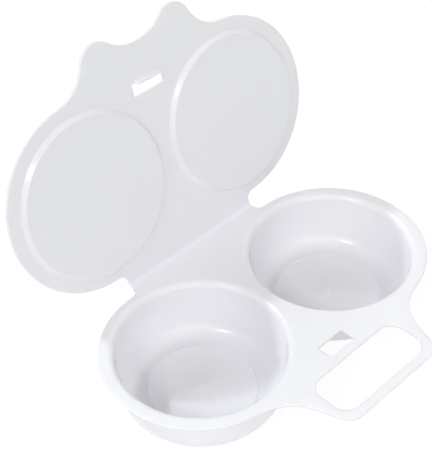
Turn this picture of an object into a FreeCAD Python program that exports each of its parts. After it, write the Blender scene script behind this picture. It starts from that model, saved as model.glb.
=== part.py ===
# Two-cup microwave egg cooker: one polypropylene moulding whose lid folds on a thin moulded web.
# Millimetres, +Z up. +X runs from cup to cup, the handle points to -Y, the hinge is on the +Y side.
# Everything is drawn from the line through the two cup centres. At the end it moves along Y, so that
# the origin lies on the table under the middle of the open cooker.
import FreeCAD, Part
import os
from math import atan2, cos, degrees, radians, sin, sqrt, tan
from FreeCAD import Placement, Rotation, Vector

# Cups
cup_radius = 38.3           # inside, at the top of the wall
cup_gap = 2.8               # flange left between the two cups at their closest
cup_depth = 27.5            # flange top down to the inside of the floor
cup_draft = 7.0             # degrees that the wall leans inwards
cup_wall = 1.5
cup_floor_radius = 9.0      # inside bend between the wall and the floor
lip_radius = 3.0            # roll from the flange down into the cup
stand_ring_width = 1.8      # flat ring that the cup stands on, inside the bend
centre_panel_rise = 0.6     # the middle of the floor is raised inside that ring
centre_panel_slope = 0.9    # width of the small step up to it
gate_radius = 1.3           # moulding gate mark in the middle of the floor
gate_height = 0.3

# Flange around the cups
flange_thickness = 1.5
rim_width = 3.35            # flange outside the lip
lobe_outset_x = 1.0         # centre of each round lobe of the outline, from its cup's centre
lobe_outset_y = -0.4
edge_round = 0.45           # rounding of every free outer edge

# Latch window in the flange, level with the front of the lobes
window_half_width = 7.8
window_length = 7.7
window_corner_radius = 0.8

# Handle loop
window_bridge = 4.4         # from the window to the finger opening
grip_length = 21.4          # the finger opening, front to back
handle_bar = 4.5            # bar across the far side
handle_foot_half = 28.4     # half width where the sides would meet the far side
handle_taper = 18.0         # degrees that the sides spread towards the cups
handle_corner_radius = 9.0
handle_blend_radius = 24.0  # hollow curve from the lobes into the handle
grip_side_inset = 1.2       # the opening is this much narrower than the far side, on each side
grip_corner_radius = 7.5

# Living hinge
neck_fillet_radius = 4.0    # from the lobes into the neck that carries the web
neck_straight = 0.35
web_half_length = 1.8       # from the fold to the thick plate on each side
web_thickness = 0.4
closed_gap = 0.15           # between flange and lid when shut
open_angle = 74.0           # how far the lid is lifted from lying flat

# Lid
lid_thickness = 1.3
plug_flare = 0.7            # the pressed disc's root is this much wider than the cup's wall
plug_height = 2.2
plug_slope = 1.6            # width of the sloping rim of the disc
plug_round = 0.9
ear_offset = 21.8           # the two thumb ears at the free edge
ear_radius = 10.2
ear_rise = 18.95            # tip of an ear beyond the lobes
ear_blend_radius = 19.5
scallop_rise = 10.55        # bottom of the hollow between the ears, beyond the lobes

# Snap tongue on the lid
tongue_side_clearance = 1.0     # to each side of the window
tongue_thickness = 1.4
tongue_edge_clearance = 0.7     # stem to the near edge of the window when shut
barb_clearance = 0.25           # barb tip to the same edge
barb_gap = 0.3                  # underside of the flange to the barb when shut
barb_height = 1.5               # catch face to the end of the tongue
barb_nose = 0.6                 # upright tip of the barb; the rest slopes back to the stem
relief_margin = 2.0             # the opening in the lid behind the barb is wider by this, each side
relief_length = 6.2
relief_corner_radius = 0.8

# Worked out
lip_outer_radius = cup_radius + lip_radius
cup_x = lip_outer_radius + cup_gap / 2
lobe_radius = lip_outer_radius + rim_width
lobe_x = cup_x + lobe_outset_x
neck_half_width = lobe_x - neck_fillet_radius
hinge_offset = lobe_outset_y + lobe_radius + neck_fillet_radius + neck_straight + web_half_length
lid_lobe_reach = hinge_offset - lobe_outset_y + lobe_radius
ear_reach = lid_lobe_reach + ear_rise
window_far = lobe_radius - lobe_outset_y
window_near = window_far - window_length
grip_near = window_far + window_bridge
grip_far = grip_near + grip_length
handle_reach = grip_far + handle_bar
grip_half_width = handle_foot_half - grip_side_inset
tongue_width = 2 * (window_half_width - tongue_side_clearance)
flange_top = cup_depth + cup_wall
fold = Vector(0, hinge_offset, flange_top + closed_gap / 2)
lid_back = (hinge_offset + ear_reach * cos(radians(open_angle))
            + (lid_thickness + closed_gap / 2) * sin(radians(open_angle)))
to_origin = Vector(0, (handle_reach - lid_back) / 2, 0)
x_axis = Vector(1, 0, 0)


def point(x, y, z=0.0):
    return Vector(x, y, z)


def line(a, b):
    return Part.LineSegment(a, b).toShape()


def arc(centre, radius, start, end, plane="xy"):
    # Circular arc between two angles in degrees, in the XY plane or in the XZ plane.
    def at(angle):
        u = radius * cos(radians(angle))
        v = radius * sin(radians(angle))
        if plane == "xy":
            return centre + Vector(u, v, 0)
        return centre + Vector(u, 0, v)
    return Part.Arc(at(start), at((start + end) / 2), at(end)).toShape()


def bearing(origin, target):
    return degrees(atan2(target.y - origin.y, target.x - origin.x))


def meeting_centre(a, reach_a, b, reach_b):
    # The point at the two given distances from a and b, on the +X side of the line from a to b.
    gap = b - a
    along = (reach_a ** 2 - reach_b ** 2 + gap.Length ** 2) / (2 * gap.Length)
    across = sqrt(reach_a ** 2 - along ** 2)
    direction = gap.normalize()
    return a + direction * along + Vector(direction.y, -direction.x, 0) * across


def mirrored(edges):
    return [edge.mirror(Vector(0, 0, 0), x_axis) for edge in edges]


def plate(edges, thickness):
    # Flat plate whose top face lies at z = 0.
    wire = Part.Wire(Part.__sortEdges__(edges))
    return Part.Face(wire).extrude(Vector(0, 0, -thickness))


def rounded_block(half_width, low_y, high_y, radius, thickness):
    # Cutter with rounded corners for an opening right through a plate. A corner takes less than
    # half of the shorter side.
    block = Part.makeBox(2 * half_width, high_y - low_y, 3 * thickness,
                         Vector(-half_width, low_y, -2 * thickness))
    upright = [edge for edge in block.Edges if abs(edge.BoundBox.ZLength - 3 * thickness) < 1e-6]
    largest = 0.49 * min(2 * half_width, high_y - low_y)
    return block.makeFillet(min(radius, largest), upright)


def soften(solid, radius, keep):
    # Rounds the edges of the top and bottom faces, apart from those that the test keeps sharp.
    top = solid.BoundBox.ZMax
    bottom = solid.BoundBox.ZMin
    picked = []
    for edge in solid.Edges:
        box = edge.BoundBox
        flat = box.ZLength < 1e-6 and (abs(box.ZMax - top) < 1e-6 or abs(box.ZMin - bottom) < 1e-6)
        if flat and not keep(box):
            picked.append(edge)
    return solid.makeFillet(radius, picked)


def lobe_and_neck(lobe, fold_y, side):
    # Right-hand outline from the fold to the crown of the lobe. side is +1 when the fold lies
    # above the lobe. The neck fillet is a quarter circle that touches the lobe at its crown.
    fillet = point(lobe.x, lobe.y + side * (lobe_radius + neck_fillet_radius))
    neck_end = point(neck_half_width, fold_y - side * web_half_length)
    edges = [line(point(0, neck_end.y), neck_end),
             line(neck_end, point(neck_half_width, fillet.y)),
             arc(fillet, neck_fillet_radius, -180 * side, -90 * side)]
    return edges, 90 * side


def tray_outline():
    lobe = point(lobe_x, lobe_outset_y)
    edges, lobe_start = lobe_and_neck(lobe, hinge_offset, 1)
    # The side of the handle is a line; its offset by the blend radius meets the widened lobe circle.
    lean = Vector(sin(radians(handle_taper)), cos(radians(handle_taper)), 0)
    outward = Vector(lean.y, -lean.x, 0)
    foot = point(handle_foot_half, -handle_reach)
    shifted = foot + outward * handle_blend_radius
    reach = lobe_radius + handle_blend_radius
    to_lobe = shifted - lobe
    half = to_lobe.dot(lean)
    travel = -half - sqrt(half ** 2 - to_lobe.dot(to_lobe) + reach ** 2)
    blend = shifted + lean * travel
    blend_foot = blend - outward * handle_blend_radius
    edges.append(arc(lobe, lobe_radius, lobe_start, bearing(lobe, blend)))
    edges.append(arc(blend, handle_blend_radius, bearing(blend, lobe), bearing(blend, blend_foot)))
    # Far corner of the handle, tangent to the side and to the far edge
    setback = handle_corner_radius * tan(radians((90 - handle_taper) / 2))
    corner_x = foot.x - setback
    corner = point(corner_x, -handle_reach + handle_corner_radius)
    side_end = corner + outward * handle_corner_radius
    edges.append(line(blend_foot, side_end))
    edges.append(arc(corner, handle_corner_radius, bearing(corner, side_end), -90))
    edges.append(line(point(corner_x, -handle_reach), point(0, -handle_reach)))
    return edges


def lid_outline():
    # Drawn as if the lid lay flat: y is the distance from the fold, the inner face looks up.
    lobe = point(lobe_x, hinge_offset - lobe_outset_y)
    edges, lobe_start = lobe_and_neck(lobe, 0, -1)
    ear = point(ear_offset, ear_reach - ear_radius)
    blend = meeting_centre(lobe, lobe_radius + ear_blend_radius, ear, ear_radius + ear_blend_radius)
    edges.append(arc(lobe, lobe_radius, lobe_start, bearing(lobe, blend)))
    from_lobe = bearing(blend, lobe)
    from_ear = bearing(blend, ear)
    edges.append(arc(blend, ear_blend_radius, from_lobe % 360, from_ear % 360))
    # The hollow between the ears touches both of them, which fixes its radius.
    scallop = lid_lobe_reach + scallop_rise
    rise = scallop - ear.y
    hollow_radius = (ear_offset ** 2 + rise ** 2 - ear_radius ** 2) / (2 * (ear_radius - rise))
    hollow = point(0, scallop + hollow_radius)
    edges.append(arc(ear, ear_radius, bearing(ear, blend), bearing(ear, hollow)))
    edges.append(arc(hollow, hollow_radius, bearing(hollow, ear), -90))
    return edges


def revolve_profile(edges, centre):
    # Full turn about a vertical line through the centre; the section lies in the XZ plane.
    face = Part.Face(Part.Wire(Part.__sortEdges__(edges)))
    solid = face.revolve(Vector(0, 0, 0), Vector(0, 0, 1), 360)
    return solid.translated(centre)


def cup_skin(offset):
    # Lip, wall, bend and floor of a cup from the rim to the middle, with z = 0 at the flange top.
    # Offset 0 is the inner skin; the outer skin is the same line moved out by the wall.
    draft = radians(cup_draft)
    roll = lip_radius - offset
    lip = Vector(lip_outer_radius, 0, -lip_radius)
    wall_top = lip + Vector(-roll * cos(draft), 0, roll * sin(draft))
    bend_radius = cup_floor_radius + offset
    floor_z = -cup_depth - offset
    bend_z = floor_z + bend_radius
    wall_foot_z = bend_z - bend_radius * sin(draft)
    wall_foot = Vector(wall_top.x - (wall_top.z - wall_foot_z) * tan(draft), 0, wall_foot_z)
    bend = Vector(wall_foot.x - bend_radius * cos(draft), 0, bend_z)
    floor_edge = Vector(bend.x, 0, floor_z)
    step_foot = Vector(bend.x - stand_ring_width, 0, floor_z)
    step_top = Vector(step_foot.x - centre_panel_slope, 0, floor_z + centre_panel_rise)
    panel_edge = Vector(gate_radius, 0, step_top.z)
    edges = [arc(lip, roll, 90, 180 - cup_draft, "xz"),
             line(wall_top, wall_foot),
             arc(bend, bend_radius, -cup_draft, -90, "xz"),
             line(floor_edge, step_foot),
             line(step_foot, step_top),
             line(step_top, panel_edge)]
    return edges, panel_edge


def cup_shell(centre):
    inner, inner_edge = cup_skin(0)
    outer, outer_edge = cup_skin(cup_wall)
    # The gate mark is a low dome inside; outside, the middle is flat.
    crown = Vector(0, 0, inner_edge.z + gate_height)
    dome_radius = (gate_radius ** 2 + gate_height ** 2) / (2 * gate_height)
    dome = Vector(0, 0, crown.z - dome_radius)
    dome_start = degrees(atan2(inner_edge.z - dome.z, gate_radius))
    base = Vector(0, 0, outer_edge.z)
    ends = [line(Vector(lip_outer_radius, 0, 0), Vector(lip_outer_radius, 0, -cup_wall)),
            arc(dome, dome_radius, dome_start, 90, "xz"),
            line(crown, base),
            line(base, outer_edge)]
    return revolve_profile(inner + outer + ends, centre)


def hinge_bevel(edge_y, side, thickness):
    # Cuts the underside of a plate down to the web thickness at the fold.
    drop = thickness - web_thickness
    corners = [point(0, edge_y, -thickness), point(0, edge_y, -web_thickness),
               point(0, edge_y - side * drop, -thickness)]
    edges = [line(corners[i], corners[(i + 1) % 3]) for i in range(3)]
    face = Part.Face(Part.Wire(edges))
    width = 2 * (neck_half_width + neck_fillet_radius)
    return face.extrude(Vector(width, 0, 0)).translated(Vector(-width / 2, 0, 0))


def cup_tray():
    edges = tray_outline()
    flange = plate(edges + mirrored(edges), flange_thickness)
    grip = rounded_block(grip_half_width, -grip_far, -grip_near, grip_corner_radius,
                         flange_thickness)
    flange = flange.cut(grip)
    fold_edge = hinge_offset - web_half_length
    flange = soften(flange, edge_round, lambda box: box.YMin > fold_edge - 1e-6)
    # The window stays sharp: the two halves of the mould meet there.
    window = rounded_block(window_half_width, -window_far, -window_near, window_corner_radius,
                           flange_thickness)
    flange = flange.cut(window).cut(hinge_bevel(fold_edge, 1, flange_thickness))
    centres = [Vector(side * cup_x, 0, 0) for side in (-1, 1)]
    for centre in centres:
        hole = Part.makeCylinder(lip_outer_radius, 4 * flange_thickness,
                                 centre - Vector(0, 0, 2 * flange_thickness))
        flange = flange.cut(hole)
    tray = flange.fuse([cup_shell(centre) for centre in centres]).removeSplitter()
    return tray.translated(Vector(0, 0, flange_top))


def plug(centre):
    # Shallow disc pressed towards the cups, one thickness all over: the solid to add.
    root = cup_radius + plug_flare
    top = root - plug_slope
    edges = [line(Vector(0, 0, 0), Vector(root, 0, 0)),
             line(Vector(root, 0, 0), Vector(top, 0, plug_height)),
             line(Vector(top, 0, plug_height), Vector(0, 0, plug_height)),
             line(Vector(0, 0, plug_height), Vector(0, 0, 0))]
    raised = revolve_profile(edges, centre)
    rim = [edge for edge in raised.Edges if abs(edge.BoundBox.ZMin - plug_height) < 1e-6]
    return raised.makeFillet(plug_round, [edge for edge in rim if edge.Length > top])


def plug_hollow(centre):
    # The recess that the same disc leaves in the outer face of the lid, one thickness inside it.
    slope_angle = atan2(plug_height, plug_slope)
    root = cup_radius + plug_flare - lid_thickness * tan(slope_angle / 2)
    top = root - plug_slope
    low = -2 * lid_thickness
    high = plug_height - lid_thickness
    edges = [line(Vector(0, 0, low), Vector(root, 0, low)),
             line(Vector(root, 0, low), Vector(root, 0, -lid_thickness)),
             line(Vector(root, 0, -lid_thickness), Vector(top, 0, high)),
             line(Vector(top, 0, high), Vector(0, 0, high)),
             line(Vector(0, 0, high), Vector(0, 0, low))]
    return revolve_profile(edges, centre)


def tongue():
    # Stem and barb that pass through the window; the barb points to the fold.
    window_edge = hinge_offset + window_near
    stem_near = window_edge + tongue_edge_clearance
    stem_far = stem_near + tongue_thickness
    catch = flange_thickness + closed_gap + barb_gap
    tip = catch + barb_height
    barb = window_edge + barb_clearance
    corners = [(stem_far, -lid_thickness / 2), (stem_far, tip), (stem_near, tip),
               (barb, catch + barb_nose), (barb, catch), (stem_near, catch),
               (stem_near, -lid_thickness / 2)]
    points = [Vector(-tongue_width / 2, y, z) for y, z in corners]
    edges = [line(points[i], points[(i + 1) % len(points)]) for i in range(len(points))]
    return Part.Face(Part.Wire(edges)).extrude(Vector(tongue_width, 0, 0))


def lid():
    edges = lid_outline()
    shell = plate(edges + mirrored(edges), lid_thickness)
    shell = soften(shell, edge_round, lambda box: box.YMax < web_half_length + 1e-6)
    stem_near = hinge_offset + window_near + tongue_edge_clearance
    relief = rounded_block(tongue_width / 2 + relief_margin, stem_near - relief_length, stem_near,
                           relief_corner_radius, lid_thickness)
    shell = shell.cut(relief).cut(hinge_bevel(web_half_length, -1, lid_thickness))
    centres = [Vector(side * cup_x, hinge_offset, 0) for side in (-1, 1)]
    shell = shell.fuse([plug(centre) for centre in centres])
    for centre in centres:
        shell = shell.cut(plug_hollow(centre))
    shell = shell.fuse(tongue()).removeSplitter()
    shell = shell.translated(Vector(0, 0, -closed_gap / 2))
    shell.Placement = Placement(fold, Rotation(x_axis, open_angle)).multiply(shell.Placement)
    return shell


def living_hinge():
    # Thin web at rest: an arc tangent to the inner faces of both plates.
    half_opening = radians((180 - open_angle) / 2)
    inner = web_half_length * tan(half_opening) + closed_gap / 2
    outer = inner + web_thickness
    middle = Vector(-neck_half_width, fold.y - web_half_length, flange_top + inner)

    def ring(radius):
        def at(angle):
            return middle + Vector(0, radius * cos(radians(angle)), radius * sin(radians(angle)))
        ends = (-90, -90 + open_angle / 2, -90 + open_angle)
        return Part.Arc(at(ends[0]), at(ends[1]), at(ends[2])).toShape(), at(ends[0]), at(ends[2])

    near, near_start, near_end = ring(inner)
    far, far_start, far_end = ring(outer)
    wire = Part.Wire(Part.__sortEdges__([near, line(near_end, far_end), far,
                                         line(far_start, near_start)]))
    return Part.Face(wire).extrude(Vector(2 * neck_half_width, 0, 0))


pieces = {"cup_tray": cup_tray, "lid": lid, "living_hinge": living_hinge}

os.makedirs("parts", exist_ok=True)
for name, make in pieces.items():
    shape = make().translated(to_origin)
    shape.exportStep("parts/" + name + ".step")
    print(name, "solids", len(shape.Solids), "valid", shape.isValid(),
          "volume", round(shape.Volume / 1000, 2), "cm3")
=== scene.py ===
import bpy
import bmesh
from math import atan2, cos, degrees, pi, radians, sin, sqrt, tan
from mathutils import Matrix, Vector


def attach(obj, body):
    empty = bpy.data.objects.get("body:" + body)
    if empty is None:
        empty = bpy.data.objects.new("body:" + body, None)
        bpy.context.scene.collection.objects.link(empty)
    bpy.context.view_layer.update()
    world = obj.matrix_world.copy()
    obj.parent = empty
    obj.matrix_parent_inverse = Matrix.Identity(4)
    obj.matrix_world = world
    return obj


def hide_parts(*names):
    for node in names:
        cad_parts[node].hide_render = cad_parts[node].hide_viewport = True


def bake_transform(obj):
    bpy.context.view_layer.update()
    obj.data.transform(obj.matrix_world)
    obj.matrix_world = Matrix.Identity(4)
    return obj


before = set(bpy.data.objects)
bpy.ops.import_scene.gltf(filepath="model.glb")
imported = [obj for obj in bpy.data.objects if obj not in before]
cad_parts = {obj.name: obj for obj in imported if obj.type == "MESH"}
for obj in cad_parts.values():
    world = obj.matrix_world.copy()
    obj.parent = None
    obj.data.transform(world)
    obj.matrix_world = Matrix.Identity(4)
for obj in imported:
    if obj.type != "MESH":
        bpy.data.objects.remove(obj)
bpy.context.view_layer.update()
mm = 0.001
print("frame loaded")

# Two-cup microwave egg cooker in white polypropylene, one moulding whose lid folds on a thin web.
# Sizes are in millimetres. The tray is drawn with its cup centres on y = 0 and its top at z = 0, the
# lid as if it lay flat with the fold on y = 0; both move to their place in the frame at the end.

mesh = {
    "spacing": 1.0,         # between points along an outline
    "arcSteps": 8,          # the fewest round an arc
    "roundSteps": 6,        # across a rounded edge
    "support": 0.3,         # flat strip inside each rounded edge, so the big faces shade flat
    "segments": 180,        # round each cup and disc
    "turnedSteps": 14,      # across each bend of a cup or disc
    "weld": 0.002,
    "sharpAngle": 38.0,     # degrees between faces, past which an edge shades sharp
}

cup = {
    "radius": 38.3,         # inside, at the top of the wall
    "gap": 2.8,             # flange between the two lips
    "depth": 27.5,
    "draft": 7.0,           # degrees
    "wall": 1.5,
    "floorRound": 9.0,
    "lipRound": 3.0,
    "standRing": 1.8,       # flat ring inside the bend
    "panelRise": 0.6,
    "panelSlope": 0.9,
    "panelRound": 0.5,
    "gateRadius": 1.3,      # gate mark in the middle of the floor
    "gateRise": 0.3,
    "gateShoulder": (0.75, 0.8),    # where its side turns into its top, as shares of radius and rise
}

tray = {
    "thickness": 1.5,
    "rim": 3.35,            # flange outside the lip
    "lobeOut": 1.0,
    "lobeDown": -0.4,
    "edgeRound": 0.45,
    "windowHalf": 7.8,
    "windowLength": 7.7,
    "windowCorner": 0.8,
    "windowEdge": 0.12,     # shut-off edge of the mould, nearly sharp
    "windowBridge": 4.4,
    "gripLength": 21.4,
    "gripCorner": 7.5,
    "gripInset": 1.2,
    "bar": 4.5,
    "footHalf": 28.4,
    "taper": 18.0,          # degrees
    "handleCorner": 9.0,
    "handleBlend": 24.0,
    "neckFillet": 4.0,
    "neckStraight": 0.35,
}

web = {
    "half": 1.8,            # from the fold to the thick plate
    "thickness": 0.4,
    "gap": 0.15,            # between the plates when shut
    "open": 74.0,           # degrees that the lid is lifted from flat
    "steps": 16,
}

lid = {
    "thickness": 1.3,
    "plugFlare": 0.7,
    "plugHeight": 2.2,
    "plugSlope": 1.6,
    "plugRound": 0.9,
    "plugRoot": 0.5,        # fillet at the foot of the pressed disc
    "earX": 21.8,
    "earRadius": 10.2,
    "earRise": 18.95,
    "earBlend": 19.5,
    "scallopRise": 10.55,
}

tongue = {
    "sideGap": 1.0,
    "thickness": 1.4,
    "edgeGap": 0.7,
    "barbGap": 0.25,
    "barbDrop": 0.3,
    "barbHeight": 1.5,
    "barbNose": 0.6,
    "cornerRound": 0.2,
    "cornerSteps": 3,
    "slotMargin": 2.0,
    "slotLength": 6.2,
    "slotCorner": 0.8,
    "slotEdge": 0.12,
}

lipOuter = cup["radius"] + cup["lipRound"]
cupX = lipOuter + cup["gap"] / 2
lobeRadius = lipOuter + tray["rim"]
lobeX = cupX + tray["lobeOut"]
neckHalf = lobeX - tray["neckFillet"]
foldY = tray["lobeDown"] + lobeRadius + tray["neckFillet"] + tray["neckStraight"] + web["half"]
earReach = foldY - tray["lobeDown"] + lobeRadius + lid["earRise"]
scallopReach = earReach - lid["earRise"] + lid["scallopRise"]
windowFar = lobeRadius - tray["lobeDown"]
windowNear = windowFar - tray["windowLength"]
gripNear = windowFar + tray["windowBridge"]
gripFar = gripNear + tray["gripLength"]
handleReach = gripFar + tray["bar"]
tongueHalf = tray["windowHalf"] - tongue["sideGap"]
stemNear = foldY + windowNear + tongue["edgeGap"]
flangeTop = cup["depth"] + cup["wall"]
tilt = radians(web["open"])
lidBack = foldY + earReach * cos(tilt) + (lid["thickness"] + web["gap"] / 2) * sin(tilt)
trayPlace = Vector((0, (handleReach - lidBack) / 2, flangeTop))
foldPlace = trayPlace + Vector((0, foldY, web["gap"] / 2))


def addNode(tree, kind, inputs=None, **settings):
    # Inputs are values or the sockets that feed them, by name or number.
    node = tree.nodes.new(kind)
    for name, value in settings.items():
        setattr(node, name, value)
    for name, value in (inputs or {}).items():
        if isinstance(value, bpy.types.NodeSocket):
            tree.links.new(value, node.inputs[name])
        else:
            node.inputs[name].default_value = value
    return node


def linear(hexColour):
    parts = [int(hexColour[i:i + 2], 16) / 255 for i in (1, 3, 5)]
    return [p / 12.92 if p <= 0.04045 else ((p + 0.055) / 1.055) ** 2.4 for p in parts] + [1.0]


def newObject(name, data):
    piece = bpy.data.objects.new(name, data)
    bpy.context.scene.collection.objects.link(piece)
    return piece


# Material

polypropylene = {
    "colour": "#f9f7fe",        # natural white with a breath of violet
    "deep": "#f6f4fc",          # where the melt ran thicker
    "cloudSize": 28.0,          # mm, soft clouds in the colour
    "roughness": 0.22,
    "roughnessSpread": 0.04,
    "ior": 1.49,
    "scatter": 0.8,             # share of the light that travels inside the wall
    "scatterDepth": 5.0,        # mm
    "foldStart": 0.18,          # mm beyond the web, where the scattering sets in
    "foldFade": 2.5,            # mm beyond the web, where it is full
    "grainSize": 0.55,          # mm; spark-eroded mould grain is about 0.1 mm, coarser here to show
    "grainHeight": 0.006,       # mm
    "flowSize": 16.0,           # mm, slow waves of the cooling wall
    "flowHeight": 0.035,        # mm
}


def mouldedPolypropylene():
    # Injection-moulded polypropylene: satin, slightly waxy, lets some light through a thin wall.
    # The mould's fine grain breaks up the gloss, and the cooled wall is never perfectly flat.
    p = polypropylene
    material = bpy.data.materials.new("mouldedPolypropylene")
    material.use_nodes = True
    tree = material.node_tree
    tree.nodes.clear()
    place = addNode(tree, "ShaderNodeTexCoord").outputs["Object"]
    clouds = addNode(tree, "ShaderNodeTexNoise",
                     {"Vector": place, "Scale": 1 / (p["cloudSize"] * mm), "Detail": 3.0, "Roughness": 0.5})
    colour = addNode(tree, "ShaderNodeMix", {"Factor": clouds.outputs["Fac"], "A": linear(p["colour"]),
                                             "B": linear(p["deep"])}, data_type="RGBA")
    grain = addNode(tree, "ShaderNodeTexNoise",
                    {"Vector": place, "Scale": 1 / (p["grainSize"] * mm), "Detail": 4.0, "Roughness": 0.6})
    rough = addNode(tree, "ShaderNodeMapRange",
                    {"Value": grain.outputs["Fac"], "To Min": p["roughness"] - p["roughnessSpread"],
                     "To Max": p["roughness"] + p["roughnessSpread"]})
    flow = addNode(tree, "ShaderNodeTexNoise",
                   {"Vector": place, "Scale": 1 / (p["flowSize"] * mm), "Detail": 1.0, "Roughness": 0.4})
    slow = addNode(tree, "ShaderNodeBump", {"Height": flow.outputs["Fac"], "Distance": p["flowHeight"] * mm})
    fine = addNode(tree, "ShaderNodeBump", {"Height": grain.outputs["Fac"], "Normal": slow.outputs["Normal"],
                                            "Distance": p["grainHeight"] * mm})
    # Light would be lost in the hidden faces between web and plates, where the real wall runs on, so
    # the scattering fades out towards the fold.
    across = addNode(tree, "ShaderNodeVectorMath", {0: place, 1: (0.0, 1.0, 1.0)}, operation="MULTIPLY")
    away = addNode(tree, "ShaderNodeVectorMath", {0: across.outputs["Vector"], 1: foldPlace * mm},
                   operation="DISTANCE")
    scatter = addNode(tree, "ShaderNodeMapRange",
                      {"Value": away.outputs["Value"], "From Min": (web["half"] + p["foldStart"]) * mm,
                       "From Max": (web["half"] + p["foldFade"]) * mm, "To Min": 0.0,
                       "To Max": p["scatter"]}, interpolation_type="SMOOTHSTEP")
    shader = addNode(tree, "ShaderNodeBsdfPrincipled",
                     {"Base Color": colour.outputs["Result"], "Roughness": rough.outputs["Result"],
                      "IOR": p["ior"], "Normal": fine.outputs["Normal"],
                      "Subsurface Weight": scatter.outputs["Result"],
                      "Subsurface Scale": p["scatterDepth"] * mm, "Subsurface Radius": (1.0, 1.0, 1.0)})
    addNode(tree, "ShaderNodeOutputMaterial", {"Surface": shader.outputs["BSDF"]})
    return material


plastic = mouldedPolypropylene()
print("material ready")


# Outlines

def arcPoints(centre, radius, start, end):
    # Evenly spaced points on a circle, both ends included; angles in degrees.
    count = max(mesh["arcSteps"], round(abs(radians(end - start)) * radius / mesh["spacing"]))
    angles = [radians(start + (end - start) * i / count) for i in range(count + 1)]
    return [Vector((centre.x + radius * cos(a), centre.y + radius * sin(a))) for a in angles]


def linePoints(a, b):
    count = max(1, round((b - a).length / mesh["spacing"]))
    return [a.lerp(b, i / count) for i in range(count + 1)]


def bearing(origin, target):
    return degrees(atan2(target.y - origin.y, target.x - origin.x))


def withoutDoubles(points):
    loop = []
    for p in points:
        if not loop or (p - loop[-1]).length > mesh["weld"]:
            loop.append(p)
    if (loop[0] - loop[-1]).length < mesh["weld"]:
        loop.pop()
    return loop


def bothHalves(half):
    return withoutDoubles(half + [Vector((-p.x, p.y)) for p in reversed(half)])


def lobeAndNeck(lobe, foldAt, side):
    # From the middle of the fold to the crown of the lobe. side is +1 when the fold lies above it.
    fillet = Vector((lobe.x, lobe.y + side * (lobeRadius + tray["neckFillet"])))
    neckEnd = Vector((neckHalf, foldAt - side * web["half"]))
    points = linePoints(Vector((0, neckEnd.y)), neckEnd)
    points += linePoints(neckEnd, Vector((neckHalf, fillet.y)))
    points += arcPoints(fillet, tray["neckFillet"], -180 * side, -90 * side)
    return points


def trayOutline():
    lobe = Vector((lobeX, tray["lobeDown"]))
    points = lobeAndNeck(lobe, foldY, 1)
    lean = Vector((sin(radians(tray["taper"])), cos(radians(tray["taper"]))))
    outward = Vector((lean.y, -lean.x))
    foot = Vector((tray["footHalf"], -handleReach))
    shifted = foot + outward * tray["handleBlend"]
    reach = lobeRadius + tray["handleBlend"]
    toLobe = shifted - lobe
    along = toLobe.dot(lean)
    blend = shifted + lean * (-along - sqrt(along ** 2 - toLobe.dot(toLobe) + reach ** 2))
    blendFoot = blend - outward * tray["handleBlend"]
    points += arcPoints(lobe, lobeRadius, 90, bearing(lobe, blend))
    points += arcPoints(blend, tray["handleBlend"], bearing(blend, lobe), bearing(blend, blendFoot))
    corner = tray["handleCorner"]
    cornerX = foot.x - corner * tan(radians((90 - tray["taper"]) / 2))
    centre = Vector((cornerX, corner - handleReach))
    sideEnd = centre + outward * corner
    points += linePoints(blendFoot, sideEnd)
    points += arcPoints(centre, corner, bearing(centre, sideEnd), -90)
    points += linePoints(Vector((cornerX, -handleReach)), Vector((0, -handleReach)))
    return bothHalves(points)


def lidOutline():
    lobe = Vector((lobeX, foldY - tray["lobeDown"]))
    points = lobeAndNeck(lobe, 0, -1)
    ear = Vector((lid["earX"], earReach - lid["earRadius"]))
    fromLobe = lobeRadius + lid["earBlend"]
    fromEar = lid["earRadius"] + lid["earBlend"]
    gap = ear - lobe
    along = (fromLobe ** 2 - fromEar ** 2 + gap.length ** 2) / (2 * gap.length)
    across = sqrt(fromLobe ** 2 - along ** 2)
    unit = gap.normalized()
    blend = lobe + unit * along + Vector((unit.y, -unit.x)) * across
    points += arcPoints(lobe, lobeRadius, -90, bearing(lobe, blend))
    points += arcPoints(blend, lid["earBlend"], bearing(blend, lobe) % 360, bearing(blend, ear) % 360)
    rise = scallopReach - ear.y
    radius = (ear.x ** 2 + rise ** 2 - lid["earRadius"] ** 2) / (2 * (lid["earRadius"] - rise))
    hollow = Vector((0, scallopReach + radius))
    points += arcPoints(ear, lid["earRadius"], bearing(ear, blend), bearing(ear, hollow))
    points += arcPoints(hollow, radius, bearing(hollow, ear), -90)
    return bothHalves(points)


def roundedRectangle(halfWidth, low, high, radius):
    corners = []
    for side, y, start in ((1, high - radius, 0), (-1, high - radius, 90),
                           (-1, low + radius, 180), (1, low + radius, 270)):
        corners += arcPoints(Vector((side * (halfWidth - radius), y)), radius, start, start + 90)
    points = []
    for p, following in zip(corners, corners[1:] + corners[:1]):
        points += linePoints(p, following)
    return withoutDoubles(points)


# Plates with rounded edges

def outwardNormals(loop, hole):
    # Unit normals in the plane that point away from the material.
    area = sum(a.x * b.y - b.x * a.y for a, b in zip(loop, loop[1:] + loop[:1]))
    sign = 1 if (area > 0) != hole else -1
    normals = []
    for before, p, after in zip(loop[-1:] + loop[:-1], loop, loop[1:] + loop[:1]):
        along = ((p - before).normalized() + (after - p).normalized()).normalized()
        normals.append(Vector((along.y, -along.x)) * sign)
    return normals


def edgeSection(radius, thickness):
    # Insets and depths down a rounded edge, from the top face to the bottom face.
    turns = [radians(90 * k / mesh["roundSteps"]) for k in range(mesh["roundSteps"] + 1)]
    upper = [(radius * (1 - sin(a)), radius * (1 - cos(a))) for a in turns]
    upper = [(radius + mesh["support"], 0)] + upper
    return upper + [(inset, thickness - depth) for inset, depth in reversed(upper)]


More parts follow.
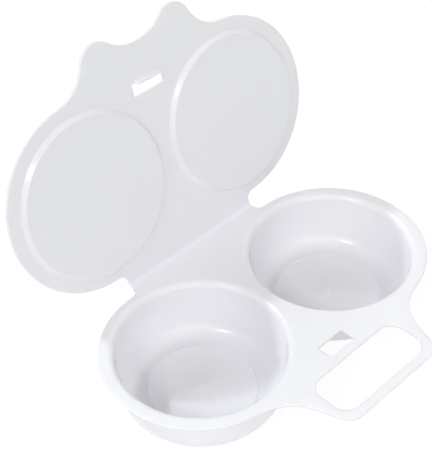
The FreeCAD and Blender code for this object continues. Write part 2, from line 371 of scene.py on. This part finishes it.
def foldSection(thickness):
    # The same number of points down the edge that carries the web: upright, then bevelled below.
    steps = mesh["roundSteps"]
    drop = thickness - web["thickness"]
    upper = [(0, web["thickness"] * k / steps) for k in range(steps + 1)]
    shares = [k / (steps + 1) for k in range(1, steps + 2)]
    lower = [(drop * share, web["thickness"] + drop * share) for share in shares]
    return [(mesh["support"], 0)] + upper + lower + [(drop + mesh["support"], thickness)]


def addEdge(bm, loop, radius, thickness, hole=False, foldEdge=None, side=1):
    # Rings of vertices down an edge of a plate. Returns the ring in the top face and in the bottom one.
    section = edgeSection(radius, thickness)
    foldLevels = foldSection(thickness)
    drop = thickness - web["thickness"]
    normals = outwardNormals(loop, hole)
    rings = []
    for level in range(len(section)):
        ring = []
        for p, normal in zip(loop, normals):
            inset, depth = section[level]
            if foldEdge is not None and abs(p.y - foldEdge) < mesh["weld"]:
                inset, depth = foldLevels[level]
                at = p - Vector((0, side)) * inset
            else:
                at = p - normal * inset
                if foldEdge is not None:
                    inside = side * (foldEdge - at.y)
                    depth = min(depth, web["thickness"] + inside)
                    if level >= len(section) - 2 and inside < drop:
                        at.y = foldEdge - side * drop
                        depth = thickness
            ring.append(bm.verts.new((at.x * mm, at.y * mm, -depth * mm)))
        rings.append(ring)
    for upper, lower in zip(rings, rings[1:]):
        for i in range(len(loop)):
            bm.faces.new((upper[i - 1], upper[i], lower[i], lower[i - 1]))
    return rings[0], rings[-1]


def circleRing(bm, centre, radius, z):
    angles = [2 * pi * i / mesh["segments"] for i in range(mesh["segments"])]
    return [bm.verts.new(((centre.x + radius * cos(a)) * mm, (centre.y + radius * sin(a)) * mm, z * mm))
            for a in angles]


def fillFace(bm, rings):
    edges = []
    for ring in rings:
        for a, b in zip(ring, ring[1:] + ring[:1]):
            edges.append(bm.edges.get((a, b)) or bm.edges.new((a, b)))
    bmesh.ops.triangle_fill(bm, use_beauty=True, use_dissolve=False, edges=edges, normal=(0, 0, 1))


def buildPlate(edges, thickness, rounds):
    # edges: keyword sets for addEdge. rounds: centre and radius of each round place left open.
    bm = bmesh.new()
    tops = []
    bottoms = []
    for edge in edges:
        top, bottom = addEdge(bm, thickness=thickness, **edge)
        tops.append(top)
        bottoms.append(bottom)
    for centre, radius in rounds:
        tops.append(circleRing(bm, centre, radius, 0))
        bottoms.append(circleRing(bm, centre, radius, -thickness))
    fillFace(bm, tops)
    fillFace(bm, bottoms)
    return bm


# Turned shells: a section with rounded corners, spun about its own axis, once at each of two centres

def turnedTree():
    tree = bpy.data.node_groups.new("turnedShell", "GeometryNodeTree")
    tree.interface.new_socket("Geometry", in_out="INPUT", socket_type="NodeSocketGeometry")
    for name, kind in (("Segments", "NodeSocketInt"), ("Bend Steps", "NodeSocketInt"),
                       ("Centre Distance", "NodeSocketFloat"), ("Centre Offset", "NodeSocketFloat"),
                       ("Material", "NodeSocketMaterial")):
        tree.interface.new_socket(name, in_out="INPUT", socket_type=kind)
    tree.interface.new_socket("Geometry", in_out="OUTPUT", socket_type="NodeSocketGeometry")
    given = addNode(tree, "NodeGroupInput").outputs
    section = addNode(tree, "GeometryNodeMeshToCurve", {"Mesh": given["Geometry"]})
    corner = addNode(tree, "GeometryNodeInputNamedAttribute", {"Name": "corner"}, data_type="FLOAT")
    bent = addNode(tree, "GeometryNodeFilletCurve",
                   {"Curve": section.outputs["Curve"], "Radius": corner.outputs["Attribute"],
                    "Limit Radius": True, "Count": given["Bend Steps"]}, mode="POLY")
    rows = addNode(tree, "GeometryNodeAttributeDomainSize", {"Geometry": bent.outputs["Curve"]},
                   component="CURVE").outputs["Point Count"]
    columns = addNode(tree, "ShaderNodeMath", {0: given["Segments"], 1: 1.0}, operation="ADD")
    grid = addNode(tree, "GeometryNodeMeshGrid", {"Vertices X": columns.outputs[0], "Vertices Y": rows})
    index = addNode(tree, "GeometryNodeInputIndex").outputs[0]
    row = addNode(tree, "ShaderNodeMath", {0: index, 1: rows}, operation="MODULO")
    ratio = addNode(tree, "ShaderNodeMath", {0: index, 1: rows}, operation="DIVIDE")
    column = addNode(tree, "ShaderNodeMath", {0: ratio.outputs[0]}, operation="FLOOR")
    share = addNode(tree, "ShaderNodeMath", {0: column.outputs[0], 1: given["Segments"]}, operation="DIVIDE")
    angle = addNode(tree, "ShaderNodeMath", {0: share.outputs[0], 1: 2 * pi}, operation="MULTIPLY")
    place = addNode(tree, "GeometryNodeInputPosition").outputs[0]
    sampled = addNode(tree, "GeometryNodeSampleIndex",
                      {"Geometry": bent.outputs["Curve"], "Index": row.outputs[0]},
                      data_type="FLOAT_VECTOR", domain="POINT")
    tree.links.new(place, sampled.inputs["Value"])
    parts = addNode(tree, "ShaderNodeSeparateXYZ", {0: sampled.outputs["Value"]}).outputs
    turn = {}
    for operation in ("COSINE", "SINE"):
        wave = addNode(tree, "ShaderNodeMath", {0: angle.outputs[0]}, operation=operation)
        scaled = addNode(tree, "ShaderNodeMath", {0: wave.outputs[0], 1: parts["X"]}, operation="MULTIPLY")
        turn[operation] = scaled.outputs[0]
    spun = addNode(tree, "ShaderNodeCombineXYZ", {0: turn["COSINE"], 1: turn["SINE"], 2: parts["Z"]})
    shell = addNode(tree, "GeometryNodeSetPosition",
                    {"Geometry": grid.outputs["Mesh"], "Position": spun.outputs[0]})
    closed = addNode(tree, "GeometryNodeMergeByDistance",
                     {"Geometry": shell.outputs["Geometry"], "Distance": mesh["weld"] * mm})
    start = addNode(tree, "ShaderNodeMath", {0: given["Centre Distance"], 1: -0.5}, operation="MULTIPLY")
    first = addNode(tree, "ShaderNodeCombineXYZ", {0: start.outputs[0], 1: given["Centre Offset"]})
    step = addNode(tree, "ShaderNodeCombineXYZ", {0: given["Centre Distance"]})
    centres = addNode(tree, "GeometryNodeMeshLine", {"Count": 2, "Start Location": first.outputs[0],
                                                     "Offset": step.outputs[0]})
    pair = addNode(tree, "GeometryNodeInstanceOnPoints",
                   {"Points": centres.outputs["Mesh"], "Instance": closed.outputs["Geometry"]})
    real = addNode(tree, "GeometryNodeRealizeInstances", {"Geometry": pair.outputs["Instances"]})
    dressed = addNode(tree, "GeometryNodeSetMaterial",
                      {"Geometry": real.outputs["Geometry"], "Material": given["Material"]})
    addNode(tree, "NodeGroupOutput", {"Geometry": dressed.outputs["Geometry"]})
    return tree


def turnedPair(tree, section, offset):
    # section: radius, height and corner radius of each point, from the flange in and back out.
    data = bpy.data.meshes.new("section")
    data.from_pydata([(x * mm, 0, z * mm) for x, z, corner in section],
                     [(i, i + 1) for i in range(len(section) - 1)], [])
    attribute = data.attributes.new("corner", "FLOAT", "POINT")
    for i, (x, z, corner) in enumerate(section):
        attribute.data[i].value = corner * mm
    holder = newObject("turned", data)
    modifier = holder.modifiers.new("turned", "NODES")
    modifier.node_group = tree
    values = {"Segments": mesh["segments"], "Bend Steps": mesh["turnedSteps"],
              "Centre Distance": 2 * cupX * mm, "Centre Offset": offset * mm, "Material": plastic}
    for item in tree.interface.items_tree:
        if item.in_out == "INPUT" and item.name in values:
            modifier[item.identifier] = values[item.name]
    evaluated = holder.evaluated_get(bpy.context.evaluated_depsgraph_get())
    result = bpy.data.meshes.new_from_object(evaluated)
    bpy.data.objects.remove(holder)
    return result


def cupSection():
    # Inner skin from the flange to the middle, then the outer skin back, one wall apart.
    lean = tan(radians(cup["draft"]))
    points = []
    for offset in (0, cup["wall"]):
        roll = cup["lipRound"] - offset
        wallX = lipOuter - roll * cos(radians(cup["draft"]))
        wallZ = -cup["lipRound"] + roll * sin(radians(cup["draft"]))
        floorZ = -cup["depth"] - offset
        floorX = wallX + (floorZ - wallZ) * lean
        bend = cup["floorRound"] + offset
        ringX = floorX - bend * tan(radians((90 - cup["draft"]) / 2)) - cup["standRing"]
        panelX = ringX - cup["panelSlope"]
        panelZ = floorZ + cup["panelRise"]
        skin = [(lipOuter + mesh["support"], -offset, 0), (lipOuter, -offset, 0),
                (wallX + (-offset - wallZ) * lean, -offset, roll), (floorX, floorZ, bend),
                (ringX, floorZ, cup["panelRound"]), (panelX, panelZ, cup["panelRound"])]
        if offset == 0:
            gate = cup["gateRadius"]
            out, up = cup["gateShoulder"]
            skin += [(gate, panelZ, 0), (out * gate, panelZ + up * cup["gateRise"], gate / 2),
                     (0, panelZ + cup["gateRise"], 0)]
            points += skin
        else:
            points += [(0, panelZ, 0)] + skin[::-1]
    return points


def discSection():
    # Disc pressed towards the cups: raised on the inner face, hollow on the outer face.
    root = cup["radius"] + lid["plugFlare"]
    edge = root + lid["plugRoot"] + mesh["support"]
    slope = atan2(lid["plugHeight"], lid["plugSlope"])
    back = root - lid["thickness"] * tan(slope / 2)
    hollow = lid["plugHeight"] - lid["thickness"]
    points = [(edge, 0, 0), (root, 0, lid["plugRoot"]), (root - lid["plugSlope"], lid["plugHeight"],
                                                         lid["plugRound"]),
              (0, lid["plugHeight"], 0), (0, hollow, 0), (back - lid["plugSlope"], hollow, lid["plugRoot"]),
              (back, -lid["thickness"], lid["plugRoot"]), (edge, -lid["thickness"], 0)]
    return points, edge


def finishMesh(bm, name, place):
    bmesh.ops.remove_doubles(bm, verts=bm.verts, dist=mesh["weld"] * mm)
    bmesh.ops.dissolve_degenerate(bm, edges=bm.edges, dist=mesh["weld"] * mm / 10)
    bmesh.ops.delete(bm, geom=[edge for edge in bm.edges if edge.is_wire], context="EDGES")
    bmesh.ops.recalc_face_normals(bm, faces=bm.faces)
    data = bpy.data.meshes.new(name)
    bm.to_mesh(data)
    bm.free()
    data.transform(place)
    data.materials.clear()
    data.materials.append(plastic)
    data.polygons.foreach_set("use_smooth", [True] * len(data.polygons))
    data.set_sharp_from_angle(angle=radians(mesh["sharpAngle"]))
    return data


turned = turnedTree()


# Tray: flange, handle loop, latch window and both cups in one skin

def buildTray():
    grip = roundedRectangle(tray["footHalf"] - tray["gripInset"], -gripFar, -gripNear, tray["gripCorner"])
    window = roundedRectangle(tray["windowHalf"], -windowFar, -windowNear, tray["windowCorner"])
    edges = [{"loop": trayOutline(), "radius": tray["edgeRound"], "foldEdge": foldY - web["half"]},
             {"loop": grip, "radius": tray["edgeRound"], "hole": True},
             {"loop": window, "radius": tray["windowEdge"], "hole": True}]
    rounds = [(Vector((side * cupX, 0)), lipOuter + mesh["support"]) for side in (-1, 1)]
    bm = buildPlate(edges, tray["thickness"], rounds)
    bm.from_mesh(turnedPair(turned, cupSection(), 0))
    return newObject("cupTray", finishMesh(bm, "cupTray", Matrix.Translation(trayPlace * mm)))


trayPiece = buildTray()
print("tray built", len(trayPiece.data.polygons), "faces")


# Lid: plate with thumb ears, two pressed discs, snap tongue and the slot behind it

def tongueSection():
    # Stem and barb in the upright plane across the fold; the barb points to the fold.
    catch = tray["thickness"] + web["gap"] + tongue["barbDrop"]
    tip = catch + tongue["barbHeight"]
    barb = stemNear - tongue["edgeGap"] + tongue["barbGap"]
    root = -lid["thickness"] / 2
    far = stemNear + tongue["thickness"]
    return [(far, root), (far, tip), (stemNear, tip), (barb, catch + tongue["barbNose"]),
            (barb, catch), (stemNear, catch), (stemNear, root)]


def buildTongue():
    bm = bmesh.new()
    ends = []
    for side in (-1, 1):
        ends.append([bm.verts.new((side * tongueHalf * mm, y * mm, z * mm)) for y, z in tongueSection()])
    for ring in ends:
        bm.faces.new(ring)
    for i in range(len(ends[0])):
        bm.faces.new((ends[0][i - 1], ends[0][i], ends[1][i], ends[1][i - 1]))
    bmesh.ops.recalc_face_normals(bm, faces=bm.faces)
    bmesh.ops.bevel(bm, geom=bm.edges[:], offset=tongue["cornerRound"] * mm,
                    segments=tongue["cornerSteps"], profile=0.5, affect="EDGES", clamp_overlap=True)
    data = bpy.data.meshes.new("tongue")
    bm.to_mesh(data)
    bm.free()
    return newObject("tongue", data)


def buildLid():
    slot = roundedRectangle(tongueHalf + tongue["slotMargin"], stemNear - tongue["slotLength"], stemNear,
                            tongue["slotCorner"])
    edges = [{"loop": lidOutline(), "radius": tray["edgeRound"], "foldEdge": web["half"], "side": -1},
             {"loop": slot, "radius": tongue["slotEdge"], "hole": True}]
    section, discEdge = discSection()
    rounds = [(Vector((side * cupX, foldY)), discEdge) for side in (-1, 1)]
    bm = buildPlate(edges, lid["thickness"], rounds)
    bm.from_mesh(turnedPair(turned, section, foldY))
    flat = newObject("lidPlate", finishMesh(bm, "lidPlate", Matrix.Identity(4)))
    stem = buildTongue()
    union = flat.modifiers.new("union", "BOOLEAN")
    union.operation = "UNION"
    union.solver = "EXACT"
    union.object = stem
    evaluated = flat.evaluated_get(bpy.context.evaluated_depsgraph_get())
    joined = bpy.data.meshes.new_from_object(evaluated)
    bpy.data.objects.remove(flat)
    bpy.data.objects.remove(stem)
    bm = bmesh.new()
    bm.from_mesh(joined)
    raised = Matrix.Translation(foldPlace * mm) @ Matrix.Rotation(tilt, 4, "X")
    raised = raised @ Matrix.Translation((0, 0, -web["gap"] / 2 * mm))
    return newObject("lidShell", finishMesh(bm, "lidShell", raised))


lidPiece = buildLid()
print("lid built", len(lidPiece.data.polygons), "faces")


# Web of the living hinge: an arc that touches the inner faces of both plates

def buildWeb():
    inner = web["half"] * tan((pi - tilt) / 2) + web["gap"] / 2
    middle = Vector((0, foldPlace.y - web["half"], flangeTop + inner))
    turns = [-pi / 2 + tilt * k / web["steps"] for k in range(web["steps"] + 1)]
    section = [(inner, a) for a in turns] + [(inner + web["thickness"], a) for a in reversed(turns)]
    bm = bmesh.new()
    columns = []
    count = round(2 * neckHalf / mesh["spacing"])
    for i in range(count + 1):
        x = neckHalf * (2 * i / count - 1)
        columns.append([bm.verts.new((x * mm, (middle.y + r * cos(a)) * mm, (middle.z + r * sin(a)) * mm))
                        for r, a in section])
    for left, right in zip(columns, columns[1:]):
        for i in range(len(section)):
            bm.faces.new((left[i - 1], left[i], right[i], right[i - 1]))
    for column in (columns[0], columns[-1]):
        last = len(section) - 1
        for i in range(web["steps"]):
            bm.faces.new((column[i], column[i + 1], column[last - i - 1], column[last - i]))
    piece = newObject("hingeWeb", finishMesh(bm, "hingeWeb", Matrix.Identity(4)))
    ends = [Vector((0, middle.y + inner * cos(a), middle.z + inner * sin(a))) * mm
            for a in (turns[0], turns[-1])]
    return piece, ends


webPiece, webEnds = buildWeb()
print("web built", len(webPiece.data.polygons), "faces")

for piece, body, node in ((trayPiece, "tray", "cup_tray"), (lidPiece, "lid", "lid")):
    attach(piece, body)
    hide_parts(node)
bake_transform(webPiece)
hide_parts("living_hinge")


# Floor, light and camera

studio = {
    "floorSize": 6.0,           # metres
    "floorColour": "#ffffff",
    "floorBounce": 0.92,        # what the floor gives back to the object
    "shadowDepth": 0.13,        # how much of its shadow the floor shows
    "floorGlow": 1.05,          # brings the lit floor up to white
    "ambient": 0.04,
}

lamps = {                       # where each comes from, and how wide it is in degrees
    "key": {"from": (-0.318, 0.619, 0.718), "strength": 1.1, "softness": 3.0, "colour": "#f0fbff"},
    "left": {"from": (-0.68, -0.15, 0.72), "strength": 0.6, "softness": 14.0, "colour": "#ffffff"},
    "side": {"from": (-0.85, 0.1, 0.5), "strength": 0.32, "softness": 60.0, "colour": "#ffffff"},
    "right": {"from": (0.8, 0.1, 0.6), "strength": 0.5, "softness": 60.0, "colour": "#ffffff"},
    "front": {"from": (-0.35, -0.72, 0.5), "strength": 1.17, "softness": 60.0, "colour": "#ffffff"},
    "top": {"from": (0.0, 0.0, 1.0), "strength": 0.54, "softness": 60.0, "colour": "#ffffff"},
}

camera = {
    "place": (-278.65, -265.42, 421.34),        # millimetres
    "azimuth": -43.41,
    "elevation": 42.41,
    "roll": -1.81,
    "lens": 99.68,
    "sensor": 36.0,
    "clipStart": 0.01,                          # metres
}


def seenShare(tree):
    # 1 for what the eye or a gloss sees straight, 0 for what lights the object.
    path = addNode(tree, "ShaderNodeLightPath").outputs
    seen = addNode(tree, "ShaderNodeMath", {0: path["Is Camera Ray"], 1: path["Is Glossy Ray"]},
                   operation="ADD")
    return addNode(tree, "ShaderNodeMath", {0: seen.outputs[0], 1: path["Is Transmission Ray"]},
                   operation="ADD", use_clamp=True).outputs[0]


def buildFloor():
    half = studio["floorSize"] / 2
    data = bpy.data.meshes.new("floor")
    data.from_pydata([(-half, -half, 0), (half, -half, 0), (half, half, 0), (-half, half, 0)], [],
                     [(0, 1, 2, 3)])
    material = bpy.data.materials.new("paintedBoard")
    material.use_nodes = True
    tree = material.node_tree
    tree.nodes.clear()
    bounce = [c * studio["floorBounce"] for c in linear(studio["floorColour"])[:3]] + [1.0]
    seen = seenShare(tree)
    colour = addNode(tree, "ShaderNodeMix", {"Factor": seen, "A": bounce,
                                             "B": linear(studio["floorColour"])}, data_type="RGBA")
    board = addNode(tree, "ShaderNodeBsdfDiffuse", {"Color": colour.outputs["Result"]})
    white = addNode(tree, "ShaderNodeEmission", {"Color": linear(studio["floorColour"]),
                                                 "Strength": studio["floorGlow"]})
    share = addNode(tree, "ShaderNodeMath", {0: seen, 1: 1 - studio["shadowDepth"]}, operation="MULTIPLY")
    surface = addNode(tree, "ShaderNodeMixShader", {0: share.outputs[0], 1: board.outputs["BSDF"],
                                                    2: white.outputs["Emission"]})
    addNode(tree, "ShaderNodeOutputMaterial", {"Surface": surface.outputs["Shader"]})
    data.materials.append(material)
    newObject("floor", data)


def buildWorld():
    world = bpy.data.worlds.new("softRoom")
    bpy.context.scene.world = world
    world.use_nodes = True
    tree = world.node_tree
    tree.nodes.clear()
    strength = addNode(tree, "ShaderNodeMapRange", {"Value": seenShare(tree), "To Min": studio["ambient"],
                                                    "To Max": 1.0})
    background = addNode(tree, "ShaderNodeBackground", {"Color": (1, 1, 1, 1),
                                                        "Strength": strength.outputs["Result"]})
    addNode(tree, "ShaderNodeOutputWorld", {"Surface": background.outputs["Background"]})


def addLamp(name, values):
    lamp = bpy.data.lights.new(name, "SUN")
    lamp.energy = values["strength"]
    lamp.color = linear(values["colour"])[:3]
    lamp.angle = radians(values["softness"])
    holder = newObject(name, lamp)
    holder.rotation_euler = Vector(values["from"]).to_track_quat("Z", "Y").to_euler()


def buildCamera():
    a = radians(camera["azimuth"])
    e = radians(camera["elevation"])
    r = radians(camera["roll"])
    back = Vector((sin(a) * cos(e), -cos(a) * cos(e), sin(e)))
    level = Vector((cos(a), sin(a), 0))
    upright = back.cross(level)
    right = level * cos(r) + upright * sin(r)
    up = upright * cos(r) - level * sin(r)
    data = bpy.data.cameras.new("camera")
    data.sensor_fit = "HORIZONTAL"
    data.sensor_width = camera["sensor"]
    data.lens = camera["lens"]
    data.clip_start = camera["clipStart"]
    holder = newObject("camera", data)
    turn = Matrix((right, up, back)).transposed().to_4x4()
    holder.matrix_world = Matrix.Translation(Vector(camera["place"]) * mm) @ turn
    bpy.context.scene.camera = holder


buildFloor()
buildWorld()
for name, values in lamps.items():
    addLamp(name, values)
buildCamera()
bpy.context.scene.view_settings.view_transform = "Standard"
print("studio ready")
